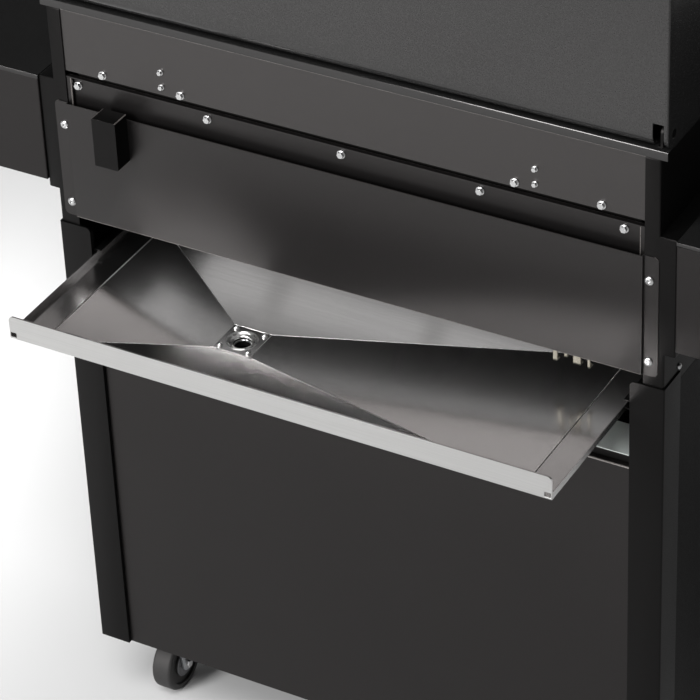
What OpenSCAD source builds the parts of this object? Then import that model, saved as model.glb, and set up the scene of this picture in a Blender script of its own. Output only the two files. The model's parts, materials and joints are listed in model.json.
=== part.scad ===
// Gas grill on a cart, with a grease tray that slides out at the rear.
// Millimetres. +X is the grill's right, seen from the front, +Y is the rear, +Z is up.
// The origin is on the floor, at the middle of the whole object's footprint.

/* [Cart] */
// Width over the outer faces of the legs
cart_w = 749; // [700:1:860]
// Depth between the outer planes of the front and rear posts
cart_d = 460; // [430:1:560]
// Height of the base's underside over the floor
base_z = 100; // [90:1:140]
// Height of the base's upturned edge
base_edge = 30; // [15:1:45]
// Thickness of the base sheet
base_t = 1.5; // [1:0.1:3]
// Width of a leg's face
leg_face = 40; // [30:1:60]
// Width of a leg's side
leg_side = 40; // [30:1:60]
// Thickness of the leg sheet
leg_t = 2; // [1.5:0.1:3]
// Radius of a leg's top inner corner
leg_r = 6; // [2:1:12]
// How far a leg's top lies below the cover's bottom edge
leg_drop = 13; // [8:1:18]
// Thickness of the side and back panels
panel_t = 1.2; // [0.8:0.1:2]
// How far the back panel lies behind the legs' faces
back_set = 5; // [3:1:10]
// Height of the back panel's top below the cover's bottom edge
back_drop = 130; // [125:1:200]
// Depth of the fold along the back panel's top
back_fold = 8; // [4:1:9]

/* [Rear rail] */
// Top of the rear cross rail below the cover's bottom edge
rail_drop = 121; // [119:1:124]
// Height of the rear cross rail
rail_h = 30; // [20:1:50]
// How far the rear rail lies inside the cover's face
rail_set = 15; // [15:1:20]
// Depth of the cross rails
rail_d = 24; // [16:1:30]
// Thickness of the cross rails
rail_t = 1.5; // [1:0.1:3]
// Depth of the heat shield
shield_d = 52; // [30:1:120]
// Thickness of the heat shield
shield_t = 1; // [0.6:0.1:1.5]
// Height of the heat shield's front lip
shield_lip = 10; // [5:1:20]

/* [Front rail] */
// Height of the front cross rail
front_rail_h = 36; // [25:1:45]

/* [Upper sides] */
// Thickness of the upper side frames
side_t = 1.5; // [1:0.1:2]
// How far the side frames reach below the cover's bottom edge
side_drop = 25; // [20:1:28]
// How far the side frames stand out past the legs beside the shelves
side_proud = 10.5; // [6:0.5:20]
// How far the side frames lie inside the legs' outer faces above the shelves
side_top_in = 8.5; // [6.5:0.5:12.5]
// Distance from the legs' outer faces to the inner edges of the side frames' flanges
flange_in = 26; // [24.5:0.5:28.5]
// Height of the lower step over the cover's bottom edge
step_low = 29; // [20:1:34]
// Height of the upper step over the cover's bottom edge
step_high = 174; // [170:1:180]
// Height of the side frames' top over the cover's bottom edge
rim_h = 265; // [255:1:290]

/* [Rear cover] */
// Height of the cover's bottom edge over the floor
cover_z = 715; // [700:1:760]
// Height of the cover
cover_h = 148; // [140:1:152]
// How far the cover's raised face ends inside the legs' outer faces
cover_in = 26; // [24.5:0.5:34.5]
// Thickness of the cover's sheet
cover_t = 1; // [0.8:0.1:1.5]
// How far the face stands out from the side flanges
cover_step = 3; // [2:0.5:6]
// Width of the side flanges
cover_flange = 17; // [14:1:17]
// Radius of the flanges' outer corners
cover_r = 6; // [3:1:10]
// Depth of the fold along the cover's bottom edge
cover_fold = 7; // [4:1:9]
// Width of the junction cover
box_w = 30; // [24:1:40]
// Height of the junction cover
box_h = 60; // [40:1:66]
// Depth of the junction cover
box_d = 24; // [18:1:32]
// Thickness of the junction cover's sheet
box_t = 1.2; // [0.8:0.1:2]
// Distance from the end of the cover's raised face to the junction cover's middle
box_in = 63.5; // [48.5:0.5:108.5]
// Bottom of the junction cover over the cover's bottom edge
box_z = 95; // [60:1:98]

/* [Rear wall] */
// Bottom of the rear wall over the cover's bottom edge
wall_z = 188; // [186:1:192]
// Thickness of the rear wall and strip
wall_t = 1.2; // [0.8:0.1:1.5]
// Bottom of the strip over the cover's bottom edge
strip_z = 138; // [120:1:142]
// Top of the strip over the cover's bottom edge
strip_top = 181; // [178:1:182]
// How far the strip lies inside the cover's face
strip_set = 10; // [9:0.5:13]
// Depth of the lip along the strip's top
strip_lip = 5; // [2:0.5:5]
// Depth of the folds along the rear wall
wall_fold = 6; // [4:1:7]

/* [Fasteners] */
// Diameter of the cover screws' heads
screw_d = 10.4; // [8:0.1:13]
// Height of the cover screws' heads
screw_h = 2.6; // [2:0.1:4]
// Diameter of the strip bolts' washers
bolt_d = 10; // [8:0.1:13]
// Height of the bolts' heads
bolt_h = 4; // [3:0.1:6]
// Diameter of the small bolts' heads
small_bolt_d = 7; // [5:0.1:8]
// Distance between the strip bolts
bolt_pitch = 165; // [120:1:165]

/* [Grease tray] */
// Gap between the tray and the inner edges of the legs' faces
tray_gap = 4.5; // [4:0.5:14.5]
// Depth of the tray
tray_d = 285; // [270:1:330]
// How far the tray is pulled out at rest
tray_out = 171; // [120:1:180]
// Height of the tray's flat border below the cover's bottom edge
tray_drop = 51; // [45:1:56]
// Thickness of the tray's sheet
tray_t = 1; // [0.8:0.1:1.5]
// Height of the side and inner edges
tray_edge = 7; // [5:0.5:8.5]
// Top of the lip below the cover's bottom edge
lip_drop = 23.6; // [20:0.2:30]
// Thickness of the lip
lip_t = 2; // [1:0.1:3]
// Radius of the lip's top corners
lip_r = 6; // [3:1:10]
// Distance from the tray's side to the funnel's rectangle
funnel_side = 36; // [30:1:80]
// Distance from the lip's face to the funnel's rectangle
funnel_near = 11; // [8:1:20]
// Depth of the funnel's rectangle
funnel_d = 252; // [200:1:255]
// Depth of the funnel
funnel_drop = 26; // [12:1:26]
// Place of the drain across the tray
drain_x = 118; // [0:1:180]
// Width of the square drain plate
plate_w = 48; // [44:1:52]
// Radius of the drain's mouth
mouth_r = 17; // [14:0.5:18]
// Depth of the drain's dish
dish_h = 6; // [3:0.5:6]
// Radius of the drain's bore
bore_r = 9.5; // [6:0.5:10]
// Length of the drain's spout below the plate
spout_h = 8; // [6:1:8]
// Diameter of the studs round the drain
stud_d = 7; // [5:0.5:8]
// Height of the studs
stud_h = 3; // [2:0.5:5]
// Distance between the studs
stud_pitch = 36; // [34:1:38]

/* [Runners] */
// Thickness of the runners
runner_t = 1.5; // [1:0.1:1.5]
// Width of a runner's ledges
runner_w = 18; // [12:1:24]
// Running gap between the tray and its runners
run_gap = 0.4; // [0.3:0.05:0.8]

/* [Grease cup] */
// Width of the cup across the grill
cup_w = 76; // [60:1:80]
// Depth of the cup
cup_d = 70; // [50:1:80]
// Height of the cup
cup_h = 24; // [15:1:25]
// Thickness of the cup's wall
cup_t = 1; // [0.6:0.1:1.5]
// Radius of the cup's corners
cup_r = 10; // [6:1:14]
// Width of the cup's rim
cup_rim = 6; // [4:1:8]
// Thickness of the cup's hanger
hanger_t = 1.2; // [0.8:0.1:1.5]

/* [Firebox] */
// How far the firebox lies inside the side frames' flanges
fire_in = 8.5; // [6.5:0.5:14.5]
// Depth of the firebox
fire_d = 380; // [360:1:382]
// Thickness of the firebox's walls
fire_t = 3; // [2:0.5:4]
// How far the firebox lies inside the cover's face
fire_set = 16; // [15:1:20]
// Height of the firebox's rim over the side frames
rim_lip = 10; // [6:1:14]
// Thickness of the firebox's rim
rim_t = 1.5; // [1:0.1:3]
// Bottom of the firebox over the cover's bottom edge
fire_bottom = 18; // [10:1:24]
// Height of the firebox's sloped floor
fire_slope = 62; // [40:1:64]
// Depth of the firebox's lower mouth
throat_d = 240; // [200:1:250]
// Height of the ledges over the cover's bottom edge that carry the grates
ledge_z = 232; // [225:1:240]
// Height of the ledges over the cover's bottom edge that carry the heat tents
tent_z = 165; // [150:1:180]
// Width of the ledges
ledge_w = 10; // [8:1:14]

/* [Burners] */
// Distance from the firebox's side to the outer burner
burner_side = 135; // [130:1:150]
// Radius of a burner's tube
burner_r = 12.5; // [10:0.5:15]
// Wall of a burner's tube
burner_t = 1; // [0.8:0.1:1.5]
// Height of the burners over the cover's bottom edge
burner_z = 102; // [100:1:115]
// Width of a heat tent
tent_w = 96; // [70:1:110]
// Height of a heat tent
tent_h = 36; // [20:1:40]
// Thickness of a heat tent
tent_t = 1.2; // [0.8:0.1:2]

/* [Grates] */
// Height of the grates
grate_h = 14; // [10:1:16]
// Width of a grate's bars
grate_bar = 8; // [6:0.5:10]
// Bars in each grate
grate_bars = 13; // [9:1:15]
// Gap between the grates and to the firebox's walls
grate_gap = 3; // [2:0.5:5]
// Height of the warming rack over the cover's bottom edge
rack_z = 372; // [355:1:390]
// Depth of the warming rack
rack_d = 130; // [90:1:150]
// Diameter of the warming rack's wires
rack_wire = 5; // [4:0.5:6]
// Wires along the warming rack
rack_wires = 9; // [6:1:11]

/* [Gas train] */
// Distance from the front posts back to the manifold
valve_set = 34; // [30:1:36]
// Length of the burners' inlets in front of the firebox
burner_stub = 14; // [10:1:16]
// Radius of the manifold's tube
manifold_r = 10; // [8:0.5:11]
// Radius of the inlet fitting
inlet_r = 7.9; // [7:0.1:9]
// Length of the inlet fitting
inlet_l = 20; // [16:1:26]
// Place of the inlet across the grill
inlet_x = -250; // [-300:1:-120]
// Width and height of a valve's body
valve_w = 26; // [20:1:30]
// Radius of a valve's stem
stem_r = 4; // [3:0.5:4]

/* [Controls] */
// Depth of the control panel in front of the posts
control_d = 50; // [40:1:70]
// Height of the control panel
control_h = 178; // [160:1:180]
// Thickness of the control panel's sheet
control_t = 1.5; // [1:0.1:2]
// Bottom of the control panel below the cover's bottom edge
control_drop = 9; // [4:1:10]
// Radius of the control panel's long edges
control_r = 14; // [8:1:24]
// Radius of a knob's skirt
knob_r = 25; // [20:1:28]
// Length of a knob
knob_l = 30; // [24:1:36]
// Radius of a knob's grip
grip_r = 19; // [15:1:19]
// How far a knob pushes in
knob_push = 4; // [3:0.5:5]
// Radius of the knobs' bezels
bezel_r = 31; // [29:1:34]
// Thickness of the bezels
bezel_t = 2.5; // [2:0.5:4]
// Distance from the control panel's end to the ignition button
button_in = 75; // [55:1:105]
// Radius of the ignition button
button_r = 9; // [7:0.5:11]
// Travel of the ignition button
button_push = 4; // [3:0.5:5]

/* [Lid] */
// Height of the lid
lid_h = 240; // [232:1:280]
// How far the lid stands out past the side frames below it
lid_proud = 7; // [6:0.5:10]
// Thickness of the lid
lid_t = 2; // [1.5:0.1:3]
// How far the lid's front lies before the posts
lid_over = 6; // [4:1:8]
// Radius of the lid's front edge
lid_front_r = 110; // [60:1:116]
// Radius of the lid's rear edge
lid_rear_r = 70; // [30:1:80]
// Radius of the lid's lower rear edge about its hinge
lid_hinge_r = 15; // [13:1:18]
// Radius of the lid's hinge pins
lid_pin_r = 5; // [4:0.5:6]
// Length of the lid's handle
handle_l = 560; // [400:1:620]
// Radius of the lid's handle
handle_r = 13; // [10:0.5:15]
// Gap between the lid and its handle's axis
handle_out = 52; // [45:1:65]
// Height of the lid's handle over the lid's bottom edge
handle_z = 32; // [28:1:34]
// Radius of the thermometer
dial_r = 30; // [25:1:34]
// Height of the thermometer over the lid's bottom edge
dial_z = 92; // [86:1:96]

/* [Doors] */
// Depth of the doors
door_d = 18; // [16:1:24]
// Thickness of the doors' sheet
door_t = 1.2; // [0.8:0.1:1.5]
// Gap between the doors
door_gap = 3; // [2:0.5:5]
// Gap between the doors and the legs
door_set = 5; // [4.5:0.5:7]
// Height of a door's handle
door_handle_l = 240; // [160:1:300]
// Radius of a door's handle
door_handle_r = 8; // [6:0.5:10]
// Gap between a door and its handle's axis
door_handle_out = 36; // [30:1:40]
// Radius of the doors' hinge pins
door_pin_r = 4; // [3:0.5:4]

/* [Side shelves] */
// Width of a side shelf
shelf_w = 330; // [215:1:375]
// Height of the shelves' frames
apron_h = 130; // [100:1:132]
// Thickness of the frames' sheet
apron_t = 1.5; // [1:0.1:2]
// Thickness of the shelves' tops
shelf_t = 5; // [3:0.5:8]
// Radius of the shelves' outer corners
shelf_r = 16; // [10:1:30]

/* [Casters] */
// Radius of a wheel
wheel_r = 37.5; // [30:0.5:38]
// Width of a wheel
wheel_w = 26; // [20:1:30]
// Distance from the legs' outer faces to the middle of the wheels
wheel_in = 64.5; // [54.5:0.5:124.5]
// Distance from the swivel's axis to the wheel's axle
trail = 22; // [15:1:28]
// Width of a caster's plate
caster_plate = 64; // [56:1:70]
// Radius of an axle
axle_r = 4; // [3:0.5:5]
// Radius of a swivel's king pin
king_r = 6; // [5:0.5:7]

/* [Hidden] */
$fn = 48;

// One overrun for all cuts, a seating gap between bodies and a running clearance on shafts
over = 1;
seat = 0.3;
fit = 0.05;

// Planes across the depth, worked out so that the whole object is centred on the origin
cover_proud = cover_step + cover_t;
push_gap = 0.5;
knob_gap = knob_push + push_gap;
knob_reach = control_d + bezel_t + knob_gap + knob_l;
lid_reach = lid_over + handle_out + handle_r;
rear_y = (cover_proud + cart_d + max(knob_reach, lid_reach) - tray_out) / 2;
post_rear = rear_y - cover_proud;
post_front = post_rear - cart_d;
leg_rear = post_rear + leg_t;
leg_front = post_front - leg_t;
control_y = post_front - control_d;
mid_y = (post_rear + post_front) / 2;
back_y = leg_rear - back_set;
wall_y = post_rear - side_t;
fire_rear = rear_y - fire_set;
fire_front = fire_rear - fire_d;
lip_y = rear_y + tray_out;

// Planes across the width
leg_x = cart_w / 2;
leg_in = leg_x - leg_t;
bay_x = leg_x - leg_face;
pan_x = leg_in - panel_t;
side_x = leg_x + side_proud;
side_top_x = leg_x - side_top_in;
flange_x = leg_x - flange_in;
cover_x = leg_x - cover_in;
box_x = cover_x - box_in;
tray_x = bay_x - tray_gap;
funnel_x = tray_x - funnel_side;
fire_x = flange_x - fire_in;
burner_pitch = fire_x - burner_side;
button_x = side_x - button_in;
lid_x = side_top_x + lid_proud;
shelf_x = side_x + shelf_w;
wheel_x = leg_x - wheel_in;

// Levels
leg_top = cover_z - leg_drop;
side_low = cover_z - side_drop;
rim = cover_z + rim_h;
shelf_z = cover_z + step_high - shelf_t;
fire_top = rim + rim_lip;
control_z = cover_z - control_drop;
control_top = control_z + control_h;
tray_z = cover_z - tray_drop;
drain_z = tray_z - funnel_drop;
burner_axis = cover_z + burner_z;
back_top = cover_z - back_drop;
rail_top = cover_z - rail_drop;
lid_z = fire_top + seat;
lid_rear = post_rear;
lid_front = post_front - lid_over;
lid_pin_y = lid_rear - lid_hinge_r;
lid_pin_z = lid_z + lid_hinge_r;

// A box between two opposite corners
module block(lo, hi) {
  translate(lo) cube(hi - lo);
}

// What is drawn in the plane of Y and Z, drawn out from x0 to x1
module along_x(x0, x1) {
  translate([x0, 0, 0]) rotate([90, 0, 90]) linear_extrude(height = x1 - x0) children();
}

// What is drawn in the plane of X and Z, drawn out from y0 to y1
module along_y(y0, y1) {
  translate([0, y1, 0]) rotate([90, 0, 0]) linear_extrude(height = y1 - y0) children();
}

// A flat rectangle between two corners, with a radius for each corner, anticlockwise from the lower left one
module rounded(lo, hi, radii) {
  corners = [lo, [hi[0], lo[1]], hi, [lo[0], hi[1]]];
  difference() {
    translate(lo) square(hi - lo);
    for (i = [0:3])
      if (radii[i] > 0)
        translate(corners[i]) rotate(90 * i) difference() {
          translate([-over, -over]) square(radii[i] + over);
          translate([radii[i], radii[i]]) circle(r = radii[i]);
        }
  }
}

// A rod along X, Y or Z from a point
module rod_x(p, r, l) {
  translate(p) rotate([0, 90, 0]) cylinder(r = r, h = l);
}

module rod_y(p, r, l) {
  translate(p) rotate([-90, 0, 0]) cylinder(r = r, h = l);
}

module rod_z(p, r, l) {
  translate(p) cylinder(r = r, h = l);
}

// The left side is the mirror image of the right side
module on_side(side) {
  if (side > 0) children();
  else mirror([1, 0, 0]) children();
}

// The front is the mirror image of the rear about the middle of the posts
module on_end(end) {
  if (end > 0) children();
  else translate([0, 2 * mid_y, 0]) mirror([0, 1, 0]) children();
}

// Base

module base_shelf() {
  base_rear = back_y - panel_t;
  color([0.13, 0.13, 0.13]) difference() {
    block([-pan_x, post_front, base_z], [pan_x, base_rear, base_z + base_edge]);
    block([-pan_x + base_t, post_front + base_t, base_z + base_t],
          [pan_x - base_t, base_rear - base_t, base_z + base_edge + over]);
  }
}

// A folded leg: its face and its side, and at the rear the return that the back panel meets
module leg(side, end) {
  color([0.14, 0.14, 0.14]) on_side(side) on_end(end) {
    along_y(post_rear, leg_rear) rounded([bay_x, base_z], [leg_x, leg_top], [0, 0, 0, leg_r]);
    block([leg_in, leg_rear - leg_side, base_z], [leg_x, leg_rear, leg_top]);
    if (end > 0)
      block([bay_x, back_y - panel_t, base_z], [bay_x + leg_t, leg_rear - leg_t / 2, leg_top - leg_r]);
  }
}

module side_panel(side) {
  color([0.1, 0.1, 0.1]) on_side(side)
    block([pan_x, post_front, base_z], [leg_in, post_rear, side_low]);
}

module back_panel() {
  color([0.22, 0.2, 0.2]) {
    block([-bay_x, back_y - panel_t, base_z], [bay_x, back_y, back_top]);
    block([-bay_x, back_y - back_fold, back_top - panel_t], [bay_x, back_y, back_top]);
  }
}

// A cross rail of channel section with its open side inwards
module cross_rail(outer_y, top, height, inwards) {
  inner_y = outer_y + inwards * rail_d;
  y_lo = min(outer_y, inner_y);
  y_hi = max(outer_y, inner_y);
  cut_lo = inwards < 0 ? y_lo - over : y_lo + rail_t;
  cut_hi = inwards < 0 ? y_hi - rail_t : y_hi + over;
  difference() {
    block([-pan_x, y_lo, top - height], [pan_x, y_hi, top]);
    block([-pan_x - over, cut_lo, top - height + rail_t], [pan_x + over, cut_hi, top - rail_t]);
  }
}

module rear_cross_rail() {
  color([0.17, 0.17, 0.17])
    cross_rail(rear_y - rail_set, rail_top, rail_h, -1);
}

module heat_shield() {
  color([0.75, 0.78, 0.76]) {
    block([-pan_x, rear_y - rail_set - shield_d, rail_top], [pan_x, rear_y - rail_set, rail_top + shield_t]);
    block([-pan_x, rear_y - rail_set - shield_d, rail_top - shield_lip],
          [pan_x, rear_y - rail_set - shield_d + shield_t, rail_top]);
  }
}

module front_cross_rail() {
  color([0.12, 0.12, 0.12])
    cross_rail(post_front, side_low, front_rail_h, 1);
}

// Upper sides

// The stepped outline of a side frame's flange, in the plane of X and Z
module side_outline(inset) {
  translate([flange_x, side_low]) square([leg_in - inset - flange_x, cover_z + step_low - side_low]);
  translate([flange_x, cover_z + step_low + inset])
    square([side_x - inset - flange_x, step_high - step_low - 2 * inset]);
  translate([flange_x, side_low]) square([side_top_x - inset - flange_x, rim - inset - side_low]);
}

module upper_side(side) {
  color([0.15, 0.15, 0.15]) on_side(side) difference() {
    along_y(post_front, post_rear) side_outline(0);
    along_y(post_front + side_t, post_rear - side_t) {
      side_outline(side_t);
      translate([flange_x - over, side_low - over]) square([over * 2, rim - side_t - side_low + over]);
      translate([flange_x - over, side_low - over]) square([leg_in - side_t - flange_x + over, over * 2]);
    }
  }
}

// Rear cover

module rear_cover() {
  top = cover_z + cover_h;
  color([0.26, 0.25, 0.25]) {
    block([-cover_x, rear_y - cover_t, cover_z], [cover_x, rear_y, top]);
    block([-cover_x, rear_y - cover_fold, cover_z], [cover_x, rear_y, cover_z + cover_t]);
    for (side = [-1, 1])
      on_side(side) {
        block([cover_x - cover_t, post_rear, cover_z], [cover_x, rear_y, top]);
        along_y(post_rear, post_rear + cover_t)
          rounded([cover_x - cover_t, cover_z], [cover_x + cover_flange, top], [0, cover_r, cover_r, 0]);
      }
  }
}

module junction_cover() {
  lo = [box_x - box_w / 2, rear_y, cover_z + box_z];
  top_z = cover_z + box_z + box_h;
  color([0.17, 0.17, 0.17]) difference() {
    along_y(rear_y, rear_y + box_d)
      rounded([lo[0], lo[2]], [lo[0] + box_w, top_z], [box_t, box_t, box_t, box_t]);
    block([lo[0] + box_t, rear_y - over, lo[2] + box_t],
          [lo[0] + box_w - box_t, rear_y + box_d - box_t, top_z - box_t]);
  }
}

module rear_wall() {
  lo = cover_z + wall_z;
  color([0.3, 0.29, 0.28]) {
    block([-flange_x, wall_y - wall_t, lo], [flange_x, wall_y, rim]);
    block([-flange_x, wall_y - wall_fold, rim - wall_t], [flange_x, wall_y, rim]);
    block([-flange_x, wall_y - wall_fold, lo], [flange_x, wall_y, lo + wall_t]);
    for (side = [-1, 1])
      on_side(side)
        block([flange_x - wall_fold, wall_y - wall_t, lo], [flange_x + wall_fold, wall_y, rim - side_t]);
  }
}

module rear_strip() {
  y = rear_y - strip_set;
  color([0.2, 0.2, 0.2]) {
    block([-flange_x, y - wall_t, cover_z + strip_z], [flange_x, y, cover_z + strip_top]);
    block([-flange_x, y - wall_t, cover_z + strip_top - wall_t],
          [flange_x, y + strip_lip, cover_z + strip_top]);
    for (side = [-1, 1])
      on_side(side)
        block([flange_x - wall_fold, y - wall_t, cover_z + strip_z],
              [flange_x + wall_fold, post_rear - side_t, cover_z + strip_top - wall_t]);
  }
}

// A low domed screw head with a socket, on a face that looks to the rear
module screw_head(x, y, z, d, h) {
  socket_r = d * 0.17;
  translate([x, y, z]) rotate([-90, 0, 0]) difference() {
    union() {
      cylinder(r = d / 2, h = h / 2);
      translate([0, 0, h / 2]) cylinder(r1 = d / 2, r2 = d / 3, h = h / 2, $fn = 32);
    }
    translate([0, 0, h / 2]) cylinder(r = socket_r, h = h, $fn = 6);
  }
}

// A hexagon bolt head on its washer, on a face that looks to the rear
module hex_head(x, y, z, d, h) {
  translate([x, y, z]) rotate([-90, 0, 0]) {
    cylinder(r = d / 2, h = h / 4);
    cylinder(r = d * 0.4, h = h, $fn = 6);
  }
}

module rear_fasteners() {
  flange_mid = cover_x + 0.38 * cover_flange;
  strip_y = rear_y - strip_set;
  bolt_drop = 12;
  bolt_z = cover_z + strip_top - bolt_drop;
  bolt_shift = 6.5;
  side_screw = 41;
  // Distances from the wall's ends, and heights over its bottom edge, of the bolts towards its ends
  inner_in = 147.5;
  pair_in = 124;
  outer_in = 48.5;
  pair_low = 10;
  pair_high = 28.3;
  large_z = 5.5;
  color([0.8, 0.8, 0.82]) {
    for (side = [-1, 1])
      for (z = [cover_z + 0.12 * cover_h, cover_z + 0.8 * cover_h])
        screw_head(side * flange_mid, post_rear + cover_t, z, screw_d, screw_h);
    for (i = [-2:2])
      hex_head(i * bolt_pitch + bolt_shift, strip_y, bolt_z, bolt_d, bolt_h);
    for (side = [-1, 1]) {
      for (z = [pair_low, pair_high])
        hex_head(side * (flange_x - pair_in), wall_y, cover_z + wall_z + z, small_bolt_d, bolt_h);
      for (inset = [inner_in, outer_in])
        hex_head(side * (flange_x - inset), wall_y, cover_z + wall_z + large_z, bolt_d, bolt_h);
      on_side(side)
        translate([leg_in, rear_y - side_screw, cover_z - leg_drop / 2]) rotate([0, 0, -90])
          screw_head(0, 0, 0, small_bolt_d, screw_h);
    }
  }
}

// Tray runners: channels that hold the tray's edges

module tray_runner(side) {
  ledge_top = tray_z - tray_t - run_gap;
  roof = tray_z + tray_edge + run_gap;
  front_end = post_front + rail_d;
  color([0.2, 0.2, 0.2]) on_side(side) {
    block([bay_x - runner_w, front_end, ledge_top - runner_t], [bay_x, back_y, ledge_top]);
    block([bay_x - runner_w / 2, front_end, roof], [bay_x, back_y, roof + runner_t]);
    block([bay_x - runner_t, front_end, ledge_top - runner_t], [bay_x, back_y, roof + runner_t]);
  }
}

// Grease tray

// The funnel's rectangle and the drain plate's square, as corners anticlockwise
funnel_hi = lip_y - funnel_near;
funnel_lo = funnel_hi - funnel_d;
drain_y = (funnel_lo + funnel_hi) / 2;
plate_lo = [drain_x - plate_w / 2, drain_y - plate_w / 2];
plate_hi = [drain_x + plate_w / 2, drain_y + plate_w / 2];
function corners_of(x0, x1, y0, y1, z) = [[x0, y0, z], [x1, y0, z], [x1, y1, z], [x0, y1, z]];
funnel_points = concat(
  corners_of(-funnel_x, funnel_x, funnel_lo, funnel_hi, tray_z),
  corners_of(plate_lo[0], plate_hi[0], plate_lo[1], plate_hi[1], drain_z),
  corners_of(-funnel_x, funnel_x, funnel_lo, funnel_hi, tray_z - tray_t),
  corners_of(plate_lo[0], plate_hi[0], plate_lo[1], plate_hi[1], drain_z - tray_t));
// For each side: the slope's upper face, its lower face, and its outer and inner edges
funnel_faces = [
  for (i = [0:3])
    let (j = (i + 1) % 4)
      each [[i, i + 4, j + 4, j], [i + 8, j + 8, j + 12, i + 12],
            [i, j, j + 8, i + 8], [i + 4, i + 12, j + 12, j + 4]]
];

module lip() {
  notch_w = 7.5;
  notch_h = 6;
  notch_in = 1;
  along_y(lip_y - lip_t, lip_y) difference() {
    rounded([-tray_x, tray_z - tray_t], [tray_x, cover_z - lip_drop], [0, 0, lip_r, lip_r]);
    for (side = [-1, 1])
      translate([side * (tray_x - notch_in - notch_w / 2) - notch_w / 2, tray_z + tray_t])
        square([notch_w, notch_h]);
  }
}

module grease_tray() {
  inner_end = lip_y - tray_d;
  color([0.72, 0.72, 0.72]) {
    difference() {
      block([-tray_x, inner_end, tray_z - tray_t], [tray_x, lip_y - lip_t, tray_z]);
      block([-funnel_x, funnel_lo, tray_z - 2 * tray_t], [funnel_x, funnel_hi, tray_z + over]);
    }
    polyhedron(points = funnel_points, faces = funnel_faces, convexity = 4);
    difference() {
      block([plate_lo[0], plate_lo[1], drain_z - tray_t], [plate_hi[0], plate_hi[1], drain_z]);
      rod_z([drain_x, drain_y, drain_z - 2 * tray_t], mouth_r + fit, 4 * tray_t);
    }
    lip();
    for (side = [-1, 1])
      on_side(side)
        block([tray_x - tray_t, inner_end, tray_z - tray_t], [tray_x, lip_y - lip_t, tray_z + tray_edge]);
    block([-tray_x, inner_end, tray_z - tray_t], [tray_x, inner_end + tray_t, tray_z + tray_edge]);
  }
}

// A spun ring: a flange on the drain plate, a sloping dish and a spout below
module drain_funnel() {
  color([0.8, 0.8, 0.8]) translate([drain_x, drain_y, drain_z]) rotate_extrude()
    polygon([
      [bore_r, -spout_h], [bore_r + tray_t, -spout_h], [bore_r + tray_t, -dish_h - tray_t],
      [mouth_r, -tray_t], [mouth_r, 0], [mouth_r + tray_t, 0], [mouth_r + tray_t, tray_t],
      [mouth_r - tray_t, tray_t], [bore_r + tray_t / 2, -dish_h], [bore_r, -dish_h]
    ]);
}

module drain_studs() {
  color([0.85, 0.85, 0.85])
    for (x = [-1, 1])
      for (y = [-1, 1])
        translate([drain_x + x * stud_pitch / 2, drain_y + y * stud_pitch / 2, drain_z]) {
          cylinder(r = stud_d / 2, h = stud_h * 0.6);
          cylinder(r = stud_d / 3, h = stud_h);
        }
}

// The hanger under the drain: a plate held by the studs, two webs and two ledges for the cup's rim
spout_end = drain_z - spout_h;
cup_top = spout_end - seat * 4;
ledge_under = cup_top - cup_t - seat;
hanger_gap = 1;
hanger_x = cup_w / 2 + cup_rim + hanger_gap;

module cup_hanger() {
  top = drain_z - tray_t;
  color([0.5, 0.5, 0.5]) translate([drain_x, drain_y, 0]) {
    difference() {
      block([-hanger_x - hanger_t, -plate_w / 2, top - hanger_t], [hanger_x + hanger_t, plate_w / 2, top]);
      rod_z([0, 0, top - hanger_t - over], mouth_r + hanger_gap, hanger_t + 2 * over);
    }
    for (side = [-1, 1])
      on_side(side) {
        block([hanger_x, -plate_w / 2, ledge_under - hanger_t], [hanger_x + hanger_t, plate_w / 2, top]);
        block([cup_w / 2 + hanger_gap, -plate_w / 2, ledge_under - hanger_t],
              [hanger_x + hanger_t, plate_w / 2, ledge_under]);
      }
  }
}

module grease_cup() {
  r = cup_r;
  color([0.75, 0.75, 0.76]) translate([drain_x, drain_y, 0]) difference() {
    union() {
      translate([0, 0, cup_top - cup_h]) linear_extrude(height = cup_h)
        rounded([-cup_w / 2, -cup_d / 2], [cup_w / 2, cup_d / 2], [r, r, r, r]);
      translate([0, 0, cup_top - cup_t]) linear_extrude(height = cup_t)
        rounded([-cup_w / 2 - cup_rim, -cup_d / 2 - cup_rim], [cup_w / 2 + cup_rim, cup_d / 2 + cup_rim],
                [r, r, r, r]);
    }
    translate([0, 0, cup_top - cup_h + cup_t]) linear_extrude(height = cup_h)
      rounded([-cup_w / 2 + cup_t, -cup_d / 2 + cup_t], [cup_w / 2 - cup_t, cup_d / 2 - cup_t],
              [r - cup_t, r - cup_t, r - cup_t, r - cup_t]);
  }
}

// Firebox

// The firebox's side profile, in the plane of Y and Z, drawn in by a wall's thickness
module fire_profile(t) {
  lo = cover_z + fire_bottom;
  throat_y = fire_rear - throat_d;
  polygon([
    [fire_rear - t, fire_top],
    [fire_rear - t, lo - (t > 0 ? over : 0)],
    [throat_y + t, lo - (t > 0 ? over : 0)],
    [throat_y + t, lo],
    [fire_front + t, lo + fire_slope],
    [fire_front + t, fire_top]
  ]);
}

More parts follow.
